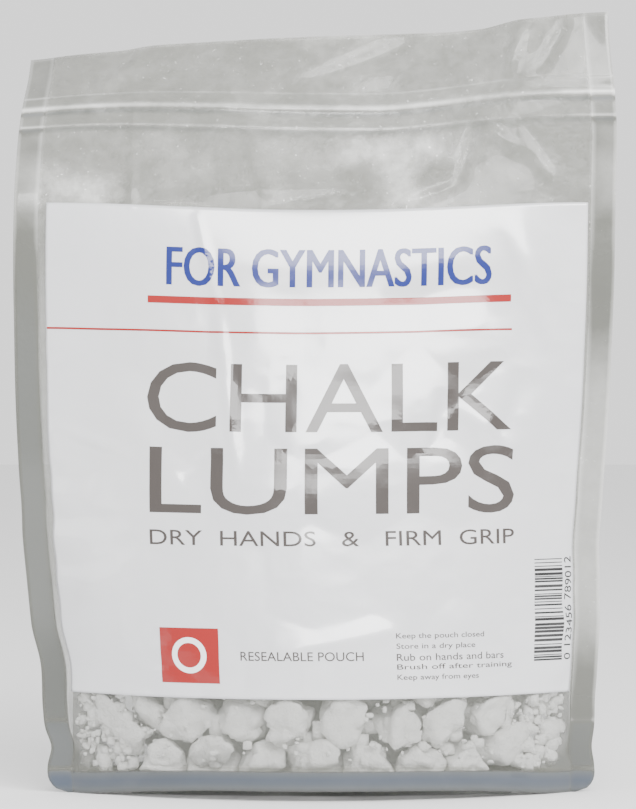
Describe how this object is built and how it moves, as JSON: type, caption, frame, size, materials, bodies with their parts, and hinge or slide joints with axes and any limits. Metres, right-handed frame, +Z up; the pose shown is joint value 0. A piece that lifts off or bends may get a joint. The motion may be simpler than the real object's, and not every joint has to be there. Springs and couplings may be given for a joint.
{
  "type": "gymnastics chalk pouch",
  "caption": "Clear stand-up pouch with a press-to-close zip, full of white gymnastics chalk lumps, with a large paper label on its front.",
  "frame": {"origin": "on the surface that the pouch stands on, below the middle of its base", "axes": "+Z up along the pouch's height, +Y from its front to its back, +X to the right of someone who faces the front"},
  "size_m": [0.185, 0.0648, 0.24],
  "materials": {
    "film": "gloss",
    "zip_plastic": "gloss",
    "label": "gloss",
    "chalk": "matte"
  },
  "bodies": {
    "bag": {"back_film": "film", "chalk_crumbs": "chalk", "chalk_lump_01": "chalk", "chalk_lump_02": "chalk", "chalk_lump_03": "chalk", "chalk_lump_04": "chalk", "chalk_lump_05": "chalk", "chalk_lump_06": "chalk", "chalk_lump_07": "chalk", "chalk_lump_08": "chalk", "chalk_lump_09": "chalk", "chalk_lump_10": "chalk", "chalk_lump_11": "chalk", "chalk_lump_12": "chalk", "chalk_lump_13": "chalk", "chalk_lump_14": "chalk", "chalk_lump_15": "chalk", "chalk_lump_16": "chalk", "chalk_lump_17": "chalk", "chalk_lump_18": "chalk", "chalk_lump_19": "chalk", "chalk_lump_20": "chalk", "chalk_lump_21": "chalk", "chalk_lump_22": "chalk", "chalk_lump_23": "chalk", "chalk_lump_24": "chalk", "chalk_lump_25": "chalk", "chalk_lump_26": "chalk", "chalk_lump_27": "chalk", "chalk_lump_28": "chalk", "chalk_lump_29": "chalk", "chalk_lump_30": "chalk", "chalk_lump_31": "chalk", "chalk_lump_32": "chalk", "chalk_lump_33": "chalk", "chalk_lump_34": "chalk", "chalk_lump_35": "chalk", "chalk_lump_36": "chalk", "chalk_lump_37": "chalk", "chalk_lump_38": "chalk", "chalk_lump_39": "chalk", "chalk_lump_40": "chalk", "chalk_lump_41": "chalk", "chalk_lump_42": "chalk", "chalk_lump_43": "chalk", "chalk_lump_44": "chalk", "chalk_lump_45": "chalk", "chalk_lump_46": "chalk", "front_film": "film", "front_label": "label", "gusset_film": "film", "small_lumps_back": "chalk", "small_lumps_front": "chalk"},
    "front_lip": {"front_mouth_film": "film", "zip_rib_strip": "zip_plastic"},
    "back_lip": {"back_mouth_film": "film", "zip_groove_strip": "zip_plastic"}
  },
  "joints": [
    {"name": "front_lip_swing", "type": "hinge", "parent": "bag", "child": "front_lip", "pos_m": [0, -0.002, 0.185], "axis": [1, 0, 0], "range_deg": [0, 30], "stiffness_Nm_per_rad": 0.02},
    {"name": "back_lip_swing", "type": "hinge", "parent": "bag", "child": "back_lip", "pos_m": [0, 0.002, 0.185], "axis": [-1, 0, 0], "range_deg": [0, 30], "stiffness_Nm_per_rad": 0.02}
  ]
}
